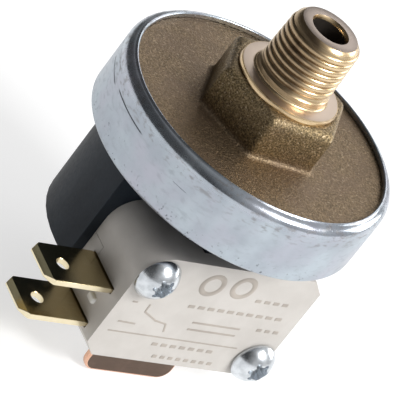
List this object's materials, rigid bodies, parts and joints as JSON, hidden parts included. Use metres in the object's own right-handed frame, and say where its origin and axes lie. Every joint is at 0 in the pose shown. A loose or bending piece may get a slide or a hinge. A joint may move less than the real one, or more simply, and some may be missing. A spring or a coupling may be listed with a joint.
{
  "type": "pressure switch",
  "caption": "Diaphragm pressure switch with a threaded brass nipple and hexagon in a crimped steel ring, a black housing and a side-mounted microswitch with blade terminals.",
  "frame": {"origin": "on the axis at the brass fitting's machined shoulder, where the threaded nipple begins", "axes": "+Z along the nipple, out of the switch; -Y is the side of the microswitch's marked face; the two blade terminals point along -X"},
  "size_m": [0.0428, 0.038, 0.0494],
  "materials": {
    "brass": "rough forged, bright where it is machined",
    "zinc_plated_steel": "bright zinc plate with handling marks",
    "bright_zinc": "bright zinc plate",
    "spring_steel": "drawn wire",
    "black_plastic": "moulded, satin",
    "cream_plastic": "moulded, satin",
    "white_plastic": "moulded",
    "rubber": "smooth",
    "copper": "rolled copper",
    "plated_brass": "rolled and stamped",
    "silver": "silver contact"
  },
  "bodies": {
    "switch_body": {"brass_fitting": "brass", "crimp_ring": "zinc_plated_steel", "diaphragm": "rubber", "switch_housing": "black_plastic", "range_spring": "spring_steel", "lever_pin": "spring_steel", "switch_case": "cream_plastic", "switch_back_plate": "cream_plastic", "com_terminal": "copper", "nc_terminal": "plated_brass", "no_terminal": "plated_brass", "nc_contact": "silver", "no_contact": "silver", "upper_mounting_screw": "bright_zinc", "lower_mounting_screw": "bright_zinc"},
    "piston": {"piston": "white_plastic"},
    "lever": {"rocker_lever": "zinc_plated_steel"},
    "button": {"switch_button": "white_plastic"},
    "snap_blade": {"contact_blade": "copper", "moving_contact": "silver"},
    "adjuster": {"adjusting_screw": "brass"},
    "seat": {"spring_seat": "zinc_plated_steel"}
  },
  "joints": [
    {"name": "lever_turn", "type": "hinge", "parent": "switch_body", "child": "lever", "pos_m": [0, 0.0103, -0.0165], "axis": [1, 0, 0], "range_deg": [0, 2.5], "stiffness_Nm_per_rad": 0.4, "springref_deg": -1.15},
    {"name": "piston_slide", "type": "slide", "parent": "switch_body", "child": "piston", "axis": [0, 0, -1], "range_m": [0, 0.00046], "deforming": ["diaphragm"]},
    {"name": "button_slide", "type": "slide", "parent": "switch_body", "child": "button", "axis": [0, 0, -1], "range_m": [0, 0.0008]},
    {"name": "blade_turn", "type": "hinge", "parent": "switch_body", "child": "snap_blade", "pos_m": [0.0078, -0.0078, -0.02953], "axis": [0, -1, 0], "range_deg": [0, 3.15]},
    {"name": "adjusting_screw_turn", "type": "hinge", "parent": "switch_body", "child": "adjuster", "pos_m": [0, 0.0046, -0.03], "axis": [0, 0, 1], "range_deg": [-540, 540]},
    {"name": "spring_seat_slide", "type": "slide", "parent": "switch_body", "child": "seat", "axis": [0, 0, 1], "range_m": [-0.0009, 0.0009], "deforming": ["range_spring"]}
  ],
  "couplings": [
    {"joint": "piston_slide", "follows": "lever_turn", "m_per_rad": 0.0103},
    {"joint": "button_slide", "follows": "lever_turn", "m_per_rad": 0.0181},
    {"joint": "blade_turn", "follows": "lever_turn", "ratio": 1.24},
    {"joint": "adjusting_screw_turn", "follows": "spring_seat_slide", "rad_per_m": -10472}
  ]
}
